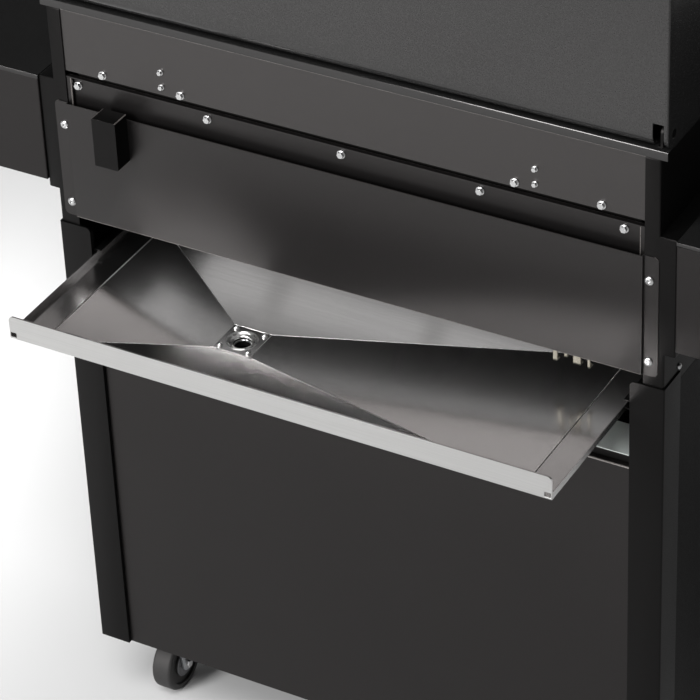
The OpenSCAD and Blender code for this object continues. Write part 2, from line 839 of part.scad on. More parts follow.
module firebox() {
  color([0.12, 0.12, 0.12]) {
    difference() {
      along_x(-fire_x, fire_x) fire_profile(0);
      difference() {
        along_x(-fire_x + fire_t, fire_x - fire_t) fire_profile(fire_t);
        // ledges for the heat tents and the grates, on the front and rear walls
        for (z = [cover_z + tent_z, cover_z + ledge_z])
          for (y = [fire_front, fire_rear - ledge_w])
            block([-fire_x, y, z - fire_t], [fire_x, y + ledge_w, z]);
      }
      block([-fire_x + fire_t, fire_front + fire_t, fire_top - fire_t],
            [fire_x - fire_t, fire_rear - fire_t, fire_top + over]);
      for (i = [-1:1])
        rod_y([i * burner_pitch, fire_front - over, burner_axis], burner_r + seat, fire_t + 2 * over);
    }
    // the rim that hangs the firebox on the side frames
    difference() {
      block([-lid_x, lid_front, rim], [lid_x, post_rear, fire_top]);
      block([-lid_x - over, lid_front + rim_t, rim - over],
            [lid_x + over, post_rear - rim_t, fire_top - rim_t]);
      block([-fire_x + fire_t, fire_front + fire_t, rim],
            [fire_x - fire_t, fire_rear - fire_t, fire_top + over]);
    }
  }
}

module burners() {
  inlet_y = fire_front - burner_stub;
  length = fire_rear - fire_t - inlet_y;
  color([0.6, 0.6, 0.58])
    for (i = [-1:1])
      difference() {
        rod_y([i * burner_pitch, inlet_y, burner_axis], burner_r, length);
        rod_y([i * burner_pitch, inlet_y - over, burner_axis], burner_r - burner_t, length - burner_t + over);
      }
}

module heat_tents() {
  half = tent_w / 2;
  foot = cover_z + tent_z;
  color([0.55, 0.55, 0.54])
    for (i = [-1:1])
      translate([i * burner_pitch, 0, foot])
        along_y(fire_front + fire_t + seat, fire_rear - fire_t - seat) difference() {
          polygon([[-half, 0], [half, 0], [half, tent_t * 2], [0, tent_h], [-half, tent_t * 2]]);
          polygon([[-half + tent_t * 2, -over], [half - tent_t * 2, -over], [half - tent_t * 2, tent_t / 2],
                   [0, tent_h - tent_t * 1.5], [-half + tent_t * 2, tent_t / 2]]);
        }
}

// A cast grate for one half of the firebox
module grate(side) {
  x0 = grate_gap / 2;
  x1 = fire_x - fire_t - grate_gap;
  y0 = fire_front + fire_t + grate_gap / 2;
  y1 = fire_rear - fire_t - grate_gap / 2;
  z0 = cover_z + ledge_z;
  pitch = (x1 - x0 - grate_bar) / (grate_bars - 1);
  color([0.1, 0.1, 0.1]) on_side(side) {
    for (i = [0:grate_bars - 1])
      block([x0 + i * pitch, y0, z0], [x0 + i * pitch + grate_bar, y1, z0 + grate_h]);
    for (y = [y0, (y0 + y1 - grate_bar) / 2, y1 - grate_bar])
      block([x0, y, z0], [x1, y + grate_bar, z0 + grate_h / 2]);
  }
}

module warming_rack() {
  z = cover_z + rack_z;
  half = fire_x + 2 * rack_wire;
  y1 = lid_pin_y - lid_hinge_r - 2 * rack_wire;
  y0 = y1 - rack_d;
  w = rack_wire / 2;
  color([0.7, 0.7, 0.7]) {
    for (i = [0:rack_wires - 1])
      rod_x([-half, y0 + i * rack_d / (rack_wires - 1), z], w, 2 * half);
    for (x = [-half, -half / 3, half / 3, half])
      rod_y([x, y0 - w, z - w], w, rack_d + 2 * w);
    // legs that stand on the firebox's rim
    for (x = [-half, half])
      for (y = [y0, y1])
        rod_z([x, y, fire_top], w, z - fire_top);
  }
}

// Gas train

valve_y = post_front + valve_set;
manifold_z = burner_axis - valve_w / 2 - manifold_r;

module gas_manifold() {
  bore = stem_r + fit;
  nozzle_r = stem_r;
  body_front = valve_y - valve_w;
  body_rear = valve_y + valve_w / 2;
  inlet_y = fire_front - burner_stub;
  color([0.7, 0.66, 0.5]) {
    rod_x([-side_x + side_t, valve_y, manifold_z], manifold_r, 2 * (side_x - side_t));
    rod_z([inlet_x, valve_y, manifold_z - manifold_r - inlet_l], inlet_r, inlet_l + manifold_r);
    for (i = [-1:1])
      translate([i * burner_pitch, 0, burner_axis]) {
        difference() {
          block([-valve_w / 2, body_front, -valve_w / 2 - manifold_r / 3],
                [valve_w / 2, body_rear, valve_w / 2]);
          rod_y([0, body_front - over, 0], bore, valve_w / 2 + over);
        }
        rod_y([0, body_rear - over, 0], nozzle_r, inlet_y - body_rear + valve_w / 3 + over);
      }
  }
}

// Controls

// The wall of the ignition button's tube, and the width of its collar
collar_t = 1;
collar_w = 5;
button_proud = 1;

module control_panel() {
  y0 = control_y;
  hole_r = 2 * stem_r;
  color([0.15, 0.15, 0.15]) {
    difference() {
      along_x(-side_x, side_x)
        rounded([y0, control_z], [post_front, control_top], [control_r, 0, 0, control_r]);
      along_x(-side_x + control_t, side_x - control_t)
        rounded([y0 + control_t, control_z + control_t], [post_front + over, control_top - control_t],
                [control_r - control_t, 0, 0, control_r - control_t]);
      for (i = [-1:1])
        rod_y([i * burner_pitch, y0 - over, burner_axis], hole_r, control_t + 2 * over);
      rod_y([button_x, y0 - over, burner_axis], button_r + collar_t, control_t + 2 * over);
    }
    // the wall behind the panel, up to the lid
    block([-flange_x, post_front, control_top - control_t], [flange_x, post_front + control_t, rim - side_t]);
    block([-side_top_x, post_front - control_t, control_top - control_t], [side_top_x, post_front, rim]);
  }
}

module control_bezels() {
  hole_r = 2 * stem_r;
  collar_r = button_r + collar_w;
  color([0.7, 0.7, 0.72]) {
    for (i = [-1:1])
      difference() {
        rod_y([i * burner_pitch, control_y - bezel_t, burner_axis], bezel_r, bezel_t);
        rod_y([i * burner_pitch, control_y - bezel_t - over, burner_axis], hole_r, bezel_t + 2 * over);
      }
    difference() {
      union() {
        rod_y([button_x, control_y - bezel_t, burner_axis], collar_r, bezel_t);
        rod_y([button_x, control_y - bezel_t, burner_axis], button_r + collar_t,
              bezel_t + control_t + button_push * 4);
      }
      rod_y([button_x, control_y - bezel_t - over, burner_axis], button_r + fit,
            bezel_t + control_t + button_push * 3.5 + over);
    }
  }
}

stem_grip = 14;
stem_front = control_y - bezel_t - knob_gap - stem_grip;
stem_rear = valve_y - valve_w + valve_w / 2 - seat;

// A valve's stem with a flat near its front end
module stem(i) {
  flat = stem_r * 0.6;
  flat_l = stem_grip;
  color([0.75, 0.75, 0.75]) translate([i * burner_pitch, 0, burner_axis]) difference() {
    rod_y([0, stem_front, 0], stem_r, stem_rear - stem_front);
    block([-stem_r, stem_front - over, flat], [stem_r, stem_front + flat_l, stem_r + over]);
  }
}

// A knob: a skirt, a ribbed grip with a pointer ridge, and a socket for the stem
module knob(i) {
  back = control_y - bezel_t - knob_gap;
  skirt = knob_l * 0.25;
  ridge_w = grip_r * 0.34;
  flat = stem_r * 0.6 + 2 * fit;
  ribs = 18;
  rib_r = 1.4;
  socket_gap = 2;
  socket_l = back - stem_front + knob_push + socket_gap;
  color([0.2, 0.2, 0.2]) translate([i * burner_pitch, 0, burner_axis]) difference() {
    union() {
      rod_y([0, back - skirt, 0], knob_r, skirt);
      rod_y([0, back - knob_l, 0], grip_r, knob_l);
      block([-ridge_w / 2, back - knob_l, 0], [ridge_w / 2, back - skirt, knob_r - rib_r]);
    }
    for (a = [0:ribs - 1])
      if (abs(a - ribs / 4) > 1)
        rotate([0, -a * 360 / ribs, 0])
          rod_y([grip_r + rib_r / 3, back - knob_l - over, 0], rib_r, knob_l - skirt);
    difference() {
      rod_y([0, back - socket_l, 0], stem_r + fit, socket_l + over);
      block([-knob_r, back - socket_l - over, flat], [knob_r, back - knob_gap, knob_r]);
    }
  }
}

module ignition_button() {
  front = control_y - bezel_t - button_push - button_proud;
  length = button_push * 3 + button_proud + bezel_t + control_t;
  color([0.65, 0.1, 0.08]) difference() {
    rod_y([button_x, front, burner_axis], button_r, length);
    // a shallow dish in the button's face
    translate([button_x, front - button_r * 2.6, burner_axis]) sphere(r = button_r * 2.7, $fn = 64);
  }
}

// Lid

// The lid's side profile, drawn in by t
module lid_profile(t) {
  rounded([lid_front + t, lid_z + t], [lid_rear - t, lid_z + lid_h - t],
          [0, lid_hinge_r - t, lid_rear_r - t, lid_front_r - t]);
}

// The plates inside the lid's ends that carry its pins, and the notches that clear them
lid_plate_t = 3;
lid_plate_x = lid_x - lid_t - 2 * lid_plate_t;

module lid() {
  notch_x = lid_plate_x - 3 * lid_plate_t;
  notch_w = 4 * lid_plate_t;
  color([0.16, 0.16, 0.16]) difference() {
    along_x(-lid_x, lid_x) lid_profile(0);
    along_x(-lid_x + lid_t, lid_x - lid_t) {
      lid_profile(lid_t);
      translate([lid_front + lid_t, lid_z - over]) square([lid_pin_y - lid_front - lid_t, lid_hinge_r]);
    }
    // notches for the hinge brackets, and the bores for their pins
    for (side = [-1, 1])
      on_side(side) {
        block([notch_x, lid_pin_y - lid_hinge_r, lid_z - over],
              [notch_x + notch_w, lid_rear + over, lid_pin_z + lid_hinge_r]);
        rod_x([lid_x - lid_t - over, lid_pin_y, lid_pin_z], lid_pin_r + fit, lid_t + 2 * over);
      }
  }
}

module lid_handle() {
  y = lid_front - handle_out;
  z = lid_z + handle_z;
  post_x = handle_l * 0.42;
  post_r = handle_r * 0.7;
  cap_l = handle_r;
  color([0.7, 0.7, 0.71]) {
    rod_x([-handle_l / 2, y, z], handle_r, handle_l);
    for (side = [-1, 1]) {
      rod_y([side * post_x, y, z], post_r, handle_out);
      rod_y([side * post_x, lid_front - cap_l / 2, z], handle_r, cap_l / 2);
    }
  }
}

module thermometer() {
  z = lid_z + dial_z;
  rim_w = 4;
  depth = 9;
  color([0.78, 0.78, 0.78]) difference() {
    rod_y([0, lid_front - depth, z], dial_r, depth);
    rod_y([0, lid_front - depth - over, z], dial_r - rim_w, over + rim_w / 2);
  }
}

// Brackets with pins, for the lid and the doors
module hinge_brackets() {
  plate_x = lid_plate_x;
  plate_t = lid_plate_t;
  plate_r = lid_hinge_r * 0.6;
  color([0.3, 0.3, 0.3]) for (side = [-1, 1])
    on_side(side) {
      along_x(plate_x - plate_t, plate_x) {
        translate([lid_pin_y, lid_pin_z]) circle(r = plate_r);
        translate([lid_pin_y - plate_r, fire_top]) square([2 * plate_r, lid_pin_z - fire_top]);
      }
      block([plate_x - 2 * plate_t, lid_pin_y - plate_r, fire_top],
            [plate_x, lid_pin_y + plate_r, fire_top + plate_t / 2]);
      rod_x([plate_x - plate_t, lid_pin_y, lid_pin_z], lid_pin_r, lid_x - plate_x + plate_t);
      for (end = [0, 1])
        door_bracket(end);
    }
}

// Doors

door_in = 3;
door_lift = 12;
door_lo = base_z + door_lift;
door_hi = side_low;
door_back = leg_front - door_set;
door_front = door_back - door_d;
door_pin_x = leg_x - door_in - door_d / 2;
door_pin_y = (door_back + door_front) / 2;
door_pin_l = 8;
door_bracket_t = 3;

// A plate on a front leg, with a pin up into the door's bottom edge or down into its top edge
module door_bracket(end) {
  w = 2 * door_pin_r;
  z = end > 0 ? door_hi + seat : door_lo - seat - door_bracket_t;
  block([door_pin_x - w, door_pin_y - w, z], [door_pin_x + w, leg_front, z + door_bracket_t]);
  rod_z([door_pin_x, door_pin_y, end > 0 ? z - door_pin_l : z], door_pin_r, door_pin_l + door_bracket_t);
}

module door(side) {
  outer = leg_x - door_in;
  color([0.14, 0.14, 0.14]) on_side(side) difference() {
    block([door_gap / 2, door_front, door_lo], [outer, door_back, door_hi]);
    block([door_gap / 2 + door_t, door_front + door_t, door_lo + door_t],
          [outer - door_t, door_back + over, door_hi - door_t]);
    rod_z([door_pin_x, door_pin_y, door_lo - over], door_pin_r + fit, door_hi - door_lo + 2 * over);
  }
}

module door_handle(side) {
  inset = 34;
  drop = 30;
  x = door_gap / 2 + inset;
  y = door_front - door_handle_out;
  top = door_hi - drop;
  foot = 0.12 * door_handle_l;
  color([0.7, 0.7, 0.71]) on_side(side) {
    rod_z([x, y, top - door_handle_l], door_handle_r, door_handle_l);
    for (z = [top - foot, top - door_handle_l + foot])
      rod_y([x, y, z], door_handle_r * 0.7, door_handle_out);
  }
}

// Side shelves

module shelf_frame(side) {
  y0 = control_y;
  y1 = post_rear + leg_t;
  r = shelf_r;
  color([0.2, 0.19, 0.19]) on_side(side)
    translate([0, 0, shelf_z - apron_h]) linear_extrude(height = apron_h) difference() {
      rounded([side_x, y0], [shelf_x, y1], [0, r, r, 0]);
      rounded([side_x + apron_t, y0 + apron_t], [shelf_x - apron_t, y1 - apron_t],
              [0, r - apron_t, r - apron_t, 0]);
    }
}

module shelf_top(side) {
  color([0.05, 0.05, 0.05]) on_side(side) translate([0, 0, shelf_z]) linear_extrude(height = shelf_t)
    rounded([side_x, control_y], [shelf_x, post_rear + leg_t], [0, shelf_r, shelf_r, 0]);
}

// Casters

caster_in = 60;
caster_y = cart_d / 2 - caster_in;
caster_plate_t = 4;
caster_plate_r = 5;
plate_under = base_z - caster_plate_t;
boss_h = 3;
fork_top = plate_under - boss_h - seat;
fork_t = 4;
fork_w = axle_r * 4.8;
axle_z = wheel_r;
cheek_gap = 1.5;
cheek_t = 2.5;
fork_half = wheel_w / 2 + cheek_gap + cheek_t;
head_h = 3;
head_w = 4;

// A plate under the base, with the boss that the fork turns on
module caster_plate_at(x, y) {
  half = caster_plate / 2;
  translate([x, y, 0]) {
    translate([0, 0, plate_under]) linear_extrude(height = base_z - plate_under)
      rounded([-half, -half], [half, half], [for (i = [0:3]) caster_plate_r]);
    rod_z([0, 0, plate_under - boss_h], caster_plate / 3, boss_h);
  }
}

// The two cheeks of a fork and the axle between them, from a level down to the axle
module cheeks(x, y, lean, top) {
  r = axle_r * 2.4;
  for (side = [-1, 1])
    translate([x, y, 0]) on_side(side)
      along_x(fork_half - cheek_t, fork_half) {
        translate([lean, axle_z]) circle(r = r);
        polygon([[lean - r, axle_z], [lean + r, axle_z], [2 * r, top], [-2 * r, top]]);
      }
  rod_x([x - fork_half, y + lean, axle_z], axle_r, 2 * fork_half);
}

module caster_plates() {
  pin_l = boss_h + seat + fork_t + seat + head_h;
  fixed_top = plate_under - boss_h;
  color([0.6, 0.6, 0.6])
    for (y = [mid_y - caster_y, mid_y + caster_y]) {
      caster_plate_at(-wheel_x, y);
      rod_z([-wheel_x, y, plate_under - pin_l], king_r, pin_l);
      rod_z([-wheel_x, y, plate_under - pin_l], king_r + head_w, head_h);
      caster_plate_at(wheel_x, y);
      cheeks(wheel_x, y, 0, fixed_top);
      block([wheel_x - fork_half, y - fork_w, fixed_top - fork_t],
            [wheel_x + fork_half, y + fork_w, fixed_top]);
    }
}

module fork(end) {
  y = mid_y + end * caster_y;
  color([0.6, 0.6, 0.6]) difference() {
    union() {
      cheeks(-wheel_x, y, trail, fork_top - fork_t / 2);
      block([-wheel_x - fork_half, y - fork_w, fork_top - fork_t],
            [-wheel_x + fork_half, y + fork_w, fork_top]);
    }
    rod_z([-wheel_x, y, fork_top - fork_t - over], king_r + fit, fork_t + 2 * over);
  }
}

module wheel(side, end) {
  y = mid_y + end * caster_y + (side < 0 ? trail : 0);
  hub_r = wheel_r * 0.5;
  dish_w = wheel_r * 0.28;
  dish = 3;
  tread_r = 4;
  color([0.08, 0.08, 0.08]) translate([side * wheel_x, y, axle_z]) difference() {
    rotate([0, 90, 0]) rotate_extrude()
      difference() {
        rounded([0, -wheel_w / 2], [wheel_r, wheel_w / 2], [0, tread_r, tread_r, 0]);
        translate([hub_r, wheel_w / 2 - dish]) square([dish_w, dish + over]);
        translate([hub_r, -wheel_w / 2 - over]) square([dish_w, dish + over]);
      }
    rod_x([-wheel_w / 2 - over, 0, 0], axle_r + fit, wheel_w + 2 * over);
  }
}

base_shelf();
leg(-1, -1);  // leg_front_left
leg(1, -1);  // leg_front_right
leg(-1, 1);  // leg_rear_left
leg(1, 1);  // leg_rear_right
side_panel(-1);  // side_panel_left
side_panel(1);  // side_panel_right
back_panel();
rear_cross_rail();
heat_shield();
front_cross_rail();
upper_side(-1);  // upper_side_left
upper_side(1);  // upper_side_right
rear_cover();
rear_fasteners();
junction_cover();
tray_runner(-1);  // tray_runner_left
tray_runner(1);  // tray_runner_right
rear_wall();
rear_strip();
firebox();
burners();
heat_tents();
grate(-1);  // grate_left
grate(1);  // grate_right
warming_rack();
gas_manifold();
control_panel();
control_bezels();
shelf_frame(-1);  // shelf_frame_left
shelf_frame(1);  // shelf_frame_right
shelf_top(-1);  // shelf_top_left
shelf_top(1);  // shelf_top_right
hinge_brackets();
caster_plates();
grease_tray();
drain_funnel();
drain_studs();
cup_hanger();
grease_cup();
door(-1);  // door_left
door(1);  // door_right
door_handle(-1);  // door_handle_left
door_handle(1);  // door_handle_right
lid();
lid_handle();
thermometer();
stem(-1);  // stem_left
stem(0);  // stem_middle
stem(1);  // stem_right
knob(-1);  // knob_left
knob(0);  // knob_middle
knob(1);  // knob_right
ignition_button();
fork(-1);  // fork_front
fork(1);  // fork_rear
wheel(-1, -1);  // wheel_left_front
wheel(-1, 1);  // wheel_left_rear
wheel(1, -1);  // wheel_right_front
wheel(1, 1);  // wheel_right_rear
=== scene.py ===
"""Gas grill seen from behind, with its grease tray pulled out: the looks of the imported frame."""

import json
import math

import bmesh
import bpy
from mathutils import Matrix, Vector


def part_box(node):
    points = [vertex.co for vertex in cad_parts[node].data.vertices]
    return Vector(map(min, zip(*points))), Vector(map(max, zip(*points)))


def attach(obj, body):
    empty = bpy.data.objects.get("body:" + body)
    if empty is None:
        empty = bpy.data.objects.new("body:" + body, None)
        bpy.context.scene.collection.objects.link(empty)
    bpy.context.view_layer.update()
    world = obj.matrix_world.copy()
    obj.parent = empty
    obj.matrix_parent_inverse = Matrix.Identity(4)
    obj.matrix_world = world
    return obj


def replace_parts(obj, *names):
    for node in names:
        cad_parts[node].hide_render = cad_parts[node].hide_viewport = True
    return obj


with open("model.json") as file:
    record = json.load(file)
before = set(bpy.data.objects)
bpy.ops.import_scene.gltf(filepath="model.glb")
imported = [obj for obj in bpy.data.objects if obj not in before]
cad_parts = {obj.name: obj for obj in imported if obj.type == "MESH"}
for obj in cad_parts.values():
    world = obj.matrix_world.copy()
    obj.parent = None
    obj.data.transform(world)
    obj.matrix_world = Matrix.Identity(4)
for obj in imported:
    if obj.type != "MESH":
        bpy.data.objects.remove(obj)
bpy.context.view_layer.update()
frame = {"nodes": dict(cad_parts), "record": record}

NODES = frame["nodes"]
BODY_OF = {node: body for body, nodes in frame["record"]["behaviour"]["bodies"].items() for node in nodes}
SLOT_OF = {part["node"]: part["material_slot"] for part in frame["record"]["subparts"]}


# Camera

def look(place, yaw, pitch, roll, lens):
    """A camera behind the grill: yaw from the grill's depth, pitch down and roll in degrees, lens in mm."""
    yaw, pitch, roll = map(math.radians, (yaw, pitch, roll))
    forward = Vector((math.sin(yaw), -math.cos(yaw), 0))
    right = Vector((-math.cos(yaw), -math.sin(yaw), 0))
    down = Vector((0, 0, -1))
    ahead = math.cos(pitch) * forward + math.sin(pitch) * down
    below = math.cos(pitch) * down - math.sin(pitch) * forward
    across = math.cos(roll) * right + math.sin(roll) * below
    under = math.cos(roll) * below - math.sin(roll) * right
    data = bpy.data.cameras.new("camera")
    data.sensor_width = 36
    data.lens = lens
    data.clip_start, data.clip_end = 0.05, 60
    cam = bpy.data.objects.new("camera", data)
    turn = Matrix((across, -under, -ahead)).transposed()
    cam.matrix_world = Matrix.Translation(place) @ turn.to_4x4()
    bpy.context.scene.collection.objects.link(cam)
    bpy.context.scene.camera = cam


look(Vector((-1.599, 2.886, 2.827)), 30.69, 34.90, 2.67, 180.0)


# Materials

class Nodes:
    """A material's node tree, with short calls that add nodes and links."""

    def __init__(self, name):
        self.material = bpy.data.materials.new(name)
        self.material.use_nodes = True
        self.tree = self.material.node_tree
        self.shader = self.tree.nodes["Principled BSDF"]
        self.place = self.add("ShaderNodeTexCoord").outputs["Object"]

    def add(self, kind, **values):
        node = self.tree.nodes.new(kind)
        for key, value in values.items():
            if hasattr(node, key):
                setattr(node, key, value)
            else:
                self.put(node.inputs[key.replace("_", " ")], value)
        return node

    def put(self, socket, value):
        if isinstance(value, bpy.types.NodeSocket):
            self.tree.links.new(value, socket)
        elif socket.type == "RGBA" and not isinstance(value, (int, float)):
            socket.default_value = (*value, 1)[:4]
        else:
            socket.default_value = value

    def set(self, **values):
        for key, value in values.items():
            self.put(self.shader.inputs[key.replace("_", " ")], value)

    def stretched(self, scale):
        """Object coordinates, scaled by a number for each axis."""
        node = self.add("ShaderNodeMapping", vector_type="POINT")
        self.put(node.inputs["Vector"], self.place)
        node.inputs["Scale"].default_value = scale
        return node.outputs[0]

    def noise(self, scale, detail=2.0, rough=0.5, stretch=None):
        node = self.add("ShaderNodeTexNoise", Scale=scale, Detail=detail, Roughness=rough)
        self.put(node.inputs["Vector"], self.stretched(stretch) if stretch else self.place)
        return node.outputs["Fac"]

    def between(self, factor, low, high, start=0.0, end=1.0):
        """A number that goes from low to high as the factor goes from start to end."""
        node = self.add("ShaderNodeMapRange")
        self.put(node.inputs["Value"], factor)
        for key, value in (("From Min", start), ("From Max", end), ("To Min", low), ("To Max", high)):
            node.inputs[key].default_value = value
        return node.outputs[0]

    def mix(self, factor, first, second):
        node = self.add("ShaderNodeMix", data_type="RGBA")
        self.put(node.inputs[0], factor)
        self.put(node.inputs[6], first)
        self.put(node.inputs[7], second)
        return node.outputs[2]

    def bump(self, height, strength, distance, below=None):
        node = self.add("ShaderNodeBump", Strength=strength, Distance=distance)
        self.put(node.inputs["Height"], height)
        if below is not None:
            self.put(node.inputs["Normal"], below)
        return node.outputs[0]


def tinted(colour, factor):
    """A colour made darker or lighter by a factor."""
    return tuple(min(1, c * factor) for c in colour)


GRAIN_SCALE = 750  # of the paint's grain, per metre


def paint(name, colour, rough, grain, coat=0.0, gloss=0.35):
    """Powder coat: a fine grain, slightly uneven in colour and gloss."""
    n = Nodes(name)
    cloud = n.noise(6, 3, 0.6)
    fine = n.noise(GRAIN_SCALE, 2, 0.6)
    patchy = n.mix(n.between(cloud, 0, 1, 0.3, 0.7), tinted(colour, 0.85), tinted(colour, 1.15))
    n.set(
        Base_Color=n.mix(n.between(fine, 0, 1, 0.35, 0.75), patchy, tinted(colour, 1.8)),
        Roughness=n.between(fine, rough - 0.06, rough + 0.06, 0.3, 0.7),
        Specular_IOR_Level=gloss,
        Specular_Tint=(1.0, 0.95, 0.935),
        Normal=n.bump(fine, grain, 0.0002),
        Coat_Weight=coat,
        Coat_Roughness=0.08,
    )
    return n.material


def metal(name, colour, rough, stretch, grain, spread=0.06, metallic=1.0):
    """Brushed or rolled metal, with its grain stretched along one axis."""
    n = Nodes(name)
    lines = n.noise(1.0, 3, 0.6, stretch)
    cloud = n.noise(9, 3, 0.6)
    n.set(
        Base_Color=n.mix(cloud, tinted(colour, 0.94), tinted(colour, 1.06)),
        Metallic=metallic,
        Roughness=n.between(lines, rough - spread, rough + spread, 0.3, 0.7),
        Normal=n.bump(lines, grain, 0.0001),
    )
    return n.material


def rolled(name, colour, bright, dull, grain):
    """Rolled sheet: a mirror-like skin broken by a fine dull grain, which together give a soft sheen."""
    n = Nodes(name)
    lines = n.noise(1.0, 3, 0.6, (60, 1400, 1400))
    skin = n.noise(2600, 1, 0.5)
    streaks = n.noise(1.0, 2, 0.5, (9, 700, 700))
    n.set(
        Base_Color=n.mix(n.between(streaks, 0, 1, 0.3, 0.7), tinted(colour, 0.96), tinted(colour, 1.04)),
        Metallic=1.0,
        Roughness=n.between(skin, bright, dull, 0.42, 0.58),
        Normal=n.bump(lines, grain, 0.0001),
    )
    return n.material


MATERIALS = {
    "cover_paint": paint("cover_paint", (0.0034, 0.0031, 0.0031), 0.36, 0.30, 0, 0.40),
    "panel_paint": paint("panel_paint", (0.0034, 0.0030, 0.0030), 0.40, 0.30, 0, 0.28),
    "frame_paint": paint("frame_paint", (0.0012, 0.0012, 0.0012), 0.36, 0.25, 0, 0.12),
    "gloss_black": paint("gloss_black", (0.006, 0.006, 0.006), 0.16, 0.04, 0.4),
    "lid_paint": paint("lid_paint", (0.012, 0.012, 0.012), 0.22, 0.1, 0.3),
    "tray_steel": rolled("tray_steel", (0.73, 0.715, 0.71), 0.15, 0.25, 0.008),
    "drain_steel": metal("drain_steel", (0.60, 0.595, 0.59), 0.3, (300, 300, 300), 0.05),
    "galvanised": metal("galvanised", (0.60, 0.62, 0.61), 0.36, (200, 200, 200), 0.1),
    "fastener_steel": metal("fastener_steel", (0.56, 0.56, 0.56), 0.3, (800, 800, 800), 0.1),
    "handle_steel": metal("handle_steel", (0.66, 0.66, 0.66), 0.26, (20, 1200, 1200), 0.15),
    "burner_steel": metal("burner_steel", (0.42, 0.40, 0.38), 0.42, (400, 60, 400), 0.2),
    "grate_iron": paint("grate_iron", (0.014, 0.014, 0.014), 0.5, 0.9),
    "chrome_wire": metal("chrome_wire", (0.75, 0.75, 0.76), 0.14, (300, 300, 300), 0.02),
    "valve_brass": metal("valve_brass", (0.62, 0.45, 0.18), 0.3, (500, 500, 500), 0.1),
    "knob_plastic": paint("knob_plastic", (0.014, 0.014, 0.014), 0.45, 0.4),
    "button_plastic": paint("button_plastic", (0.30, 0.012, 0.010), 0.2, 0.05, 0.5),
    "dial_metal": metal("dial_metal", (0.78, 0.78, 0.78), 0.12, (600, 600, 600), 0.03),
    "caster_zinc": metal("caster_zinc", (0.52, 0.53, 0.55), 0.36, (300, 300, 300), 0.15),
    "wheel_rubber": paint("wheel_rubber", (0.016, 0.016, 0.016), 0.6, 0.5),
}
# Finishes for a part of a piece, or for a piece that only the scene has
# A lighter paint for the faces of broken edges: a painted highlight along folds and cut edges
EDGE_HIGHLIGHT = paint("edge_highlight_paint", (0.085, 0.078, 0.074), 0.30, 0.2, 0, 0.6)
LIP = rolled("lip_steel", (0.50, 0.497, 0.49), 0.36, 0.44, 0.10)
# A bright steel for beads on the tray's folds: a painted highlight
FOLD_HIGHLIGHT = metal("bead_highlight_steel", (0.9, 0.89, 0.88), 0.3, (500, 500, 500), 0.05)
POLISHED = metal("polished_steel", (0.80, 0.80, 0.80), 0.18, (400, 400, 400), 0.02)
CERAMIC = paint("ceramic", (0.20, 0.185, 0.15), 0.45, 0.3, 0, 0.4)
PRINT = paint("print", (0.55, 0.55, 0.54), 0.5, 0.1)
DARK_PRINT = paint("dark_print", (0.02, 0.02, 0.02), 0.5, 0.1)
RED_PRINT = paint("red_print", (0.42, 0.02, 0.015), 0.45, 0.1)
HUB = paint("hub_plastic", (0.10, 0.10, 0.105), 0.45, 0.4)


# Pieces from the frame's own forms

def link(name, mesh, body, slot, material=None):
    """A new piece that rides on a body and takes its finish from a slot."""
    obj = bpy.data.objects.new(name, mesh)
    bpy.context.scene.collection.objects.link(obj)
    mesh.materials.clear()
    mesh.materials.append(material or MATERIALS[slot])
    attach(obj, body)
    return obj


CREASE_WIDTH = 0.003  # narrower faces belong to a fold or a bend
WELD = 2e-6           # points closer than this are one
ROUND_CUT = 0.0005    # cut edges are rounded above this radius, and chamfered below it


def eased(node, fold, cut, crisp=False, smooth=35):
    """A node's own form, which stands for the node.

    Where two wide faces meet, the edge is rounded as a fold is, and the edges of a sheet are broken only slightly.
    Both radii are in metres. Crisp forms keep even slight creases between wide faces sharp.
    """
    bm = bmesh.new()
    bm.from_mesh(NODES[node].data)
    bmesh.ops.remove_doubles(bm, verts=bm.verts, dist=WELD)
    bmesh.ops.dissolve_limit(bm, angle_limit=math.radians(0.3), verts=bm.verts, edges=bm.edges)

    def width(face):
        return 2 * face.calc_area() / max(face.calc_perimeter(), 1e-9)

    def sharp(edge):
        return len(edge.link_faces) == 2 and edge.is_convex and edge.calc_face_angle(0) > math.radians(smooth)

    def between_wide(edge):
        return min(width(f) for f in edge.link_faces) > 2.5 * fold

    for radius, segments, wide in ((fold, 3, True), (cut, 3 if cut > ROUND_CUT else 1, False)):
        # Keys of a dict stay in order, where a set's order differs from run to run
        left = dict.fromkeys(e for e in bm.edges if sharp(e) and between_wide(e) == wide)
        while left:
            # Edges that touch are rounded together, apart from the rest: a short edge holds back its own run alone
            run, front = [], [left.popitem()[0]]
            while front:
                edge = front.pop()
                run.append(edge)
                near = list(dict.fromkeys(e for v in edge.verts for e in v.link_edges if e in left))
                for e in near:
                    del left[e]
                front += near
            bmesh.ops.bevel(bm, geom=run, offset=radius, segments=segments, profile=0.5,
                            affect="EDGES", clamp_overlap=True)
            left = dict.fromkeys(e for e in left if e.is_valid)
    bmesh.ops.dissolve_degenerate(bm, dist=WELD, edges=bm.edges)
    for face in bm.faces:
        face.smooth = True
    for edge in bm.edges:
        edge.smooth = len(edge.link_faces) == 2 and edge.calc_face_angle(0) < math.radians(smooth)
        if crisp and edge.smooth and min(width(f) for f in edge.link_faces) > CREASE_WIDTH:
            edge.smooth = False
    mesh = bpy.data.meshes.new(node + "_form")
    bm.to_mesh(mesh)
    bm.free()
    obj = link(node + "_form", mesh, BODY_OF[node], SLOT_OF[node])
    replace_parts(obj, node)
    return obj


for node, obj in NODES.items():
    obj.data.materials.clear()
    obj.data.materials.append(MATERIALS[SLOT_OF[node]])

CRISP = {"grease_tray", "heat_tents", "back_panel", "rear_cover", "rear_wall"}
RIM_Z = 0.977  # above this the firebox is its glossy rim, and below it the enamel is matt

